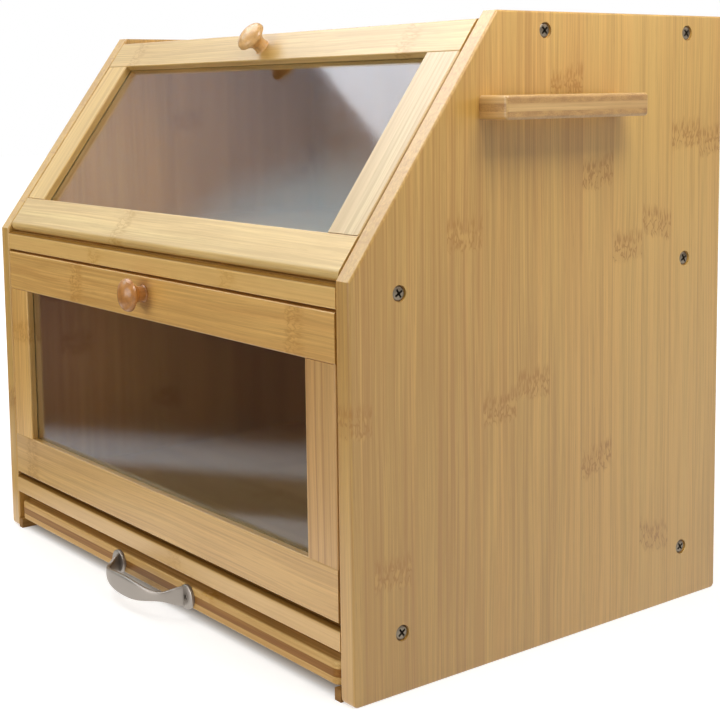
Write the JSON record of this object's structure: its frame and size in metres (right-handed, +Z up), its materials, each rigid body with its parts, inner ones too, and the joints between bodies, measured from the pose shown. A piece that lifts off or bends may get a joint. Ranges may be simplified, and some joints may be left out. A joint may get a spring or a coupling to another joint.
{
  "type": "bread box with drawer",
  "caption": "Two-level bamboo bread box with an upright and a leaning clear drop-front door, a pull-out cutting board with a strap handle, and a side knife holder.",
  "frame": {"origin": "bottom centre of the box around everything, on the surface that the bread box stands on", "axes": "+X to the right seen from the front, +Y to the back, +Z up; the doors and the cutting board face -Y"},
  "size_m": [0.42, 0.306, 0.3485],
  "materials": {
    "bamboo_side": "clear satin lacquer, upright strips",
    "bamboo_panel": "clear satin lacquer, strips across",
    "bamboo_frame": "clear satin lacquer",
    "bamboo_strip": "clear satin lacquer",
    "bamboo_light_ply": "oiled",
    "bamboo_dark_ply": "oiled, carbonised",
    "bamboo_three_ply": "clear satin lacquer",
    "acrylic": "clear, glossy",
    "knob_wood": "turned, clear lacquer",
    "satin_nickel": "satin nickel plate",
    "plated_steel": "zinc plated",
    "magnet": "nickel plated"
  },
  "bodies": {
    "carcass": {"left_side_panel": "bamboo_side", "right_side_panel": "bamboo_side", "top_panel": "bamboo_panel", "middle_shelf": "bamboo_panel", "bottom_panel": "bamboo_panel", "back_panel": "bamboo_panel", "left_panel_screws": "plated_steel", "right_panel_screws": "plated_steel", "left_board_runner": "bamboo_strip", "right_board_runner": "bamboo_strip", "runner_screws": "plated_steel", "knife_holder": "bamboo_three_ply", "knife_holder_screws": "plated_steel", "upper_catch_magnets": "magnet", "lower_stop_blocks": "bamboo_strip", "lower_catch_magnets": "magnet"},
    "upper_door": {"upper_bottom_rail": "bamboo_frame", "upper_top_rail": "bamboo_frame", "upper_left_stile": "bamboo_frame", "upper_right_stile": "bamboo_frame", "upper_window": "acrylic", "upper_hinge_pins": "plated_steel", "upper_knob": "knob_wood", "upper_knob_screw": "plated_steel", "upper_strike_discs": "plated_steel"},
    "lower_door": {"lower_bottom_rail": "bamboo_frame", "lower_top_rail": "bamboo_frame", "lower_left_stile": "bamboo_frame", "lower_right_stile": "bamboo_frame", "lower_window": "acrylic", "lower_hinge_pins": "plated_steel", "lower_knob": "knob_wood", "lower_knob_screw": "plated_steel", "lower_strike_discs": "plated_steel"},
    "cutting_board": {"board_top_ply": "bamboo_light_ply", "board_core_ply": "bamboo_dark_ply", "board_bottom_ply": "bamboo_light_ply", "strap_handle": "satin_nickel", "handle_screws": "plated_steel"}
  },
  "joints": [
    {"name": "upper_door_hinge", "type": "hinge", "parent": "carcass", "child": "upper_door", "pos_m": [-0.01, -0.12016, 0.2165], "axis": [1, 0, 0], "range_deg": [0, 132]},
    {"name": "lower_door_hinge", "type": "hinge", "parent": "carcass", "child": "lower_door", "pos_m": [-0.01, -0.1215, 0.0462], "axis": [1, 0, 0], "range_deg": [0, 90]},
    {"name": "board_slide", "type": "slide", "parent": "carcass", "child": "cutting_board", "axis": [0, -1, 0], "range_m": [0, 0.22]}
  ]
}
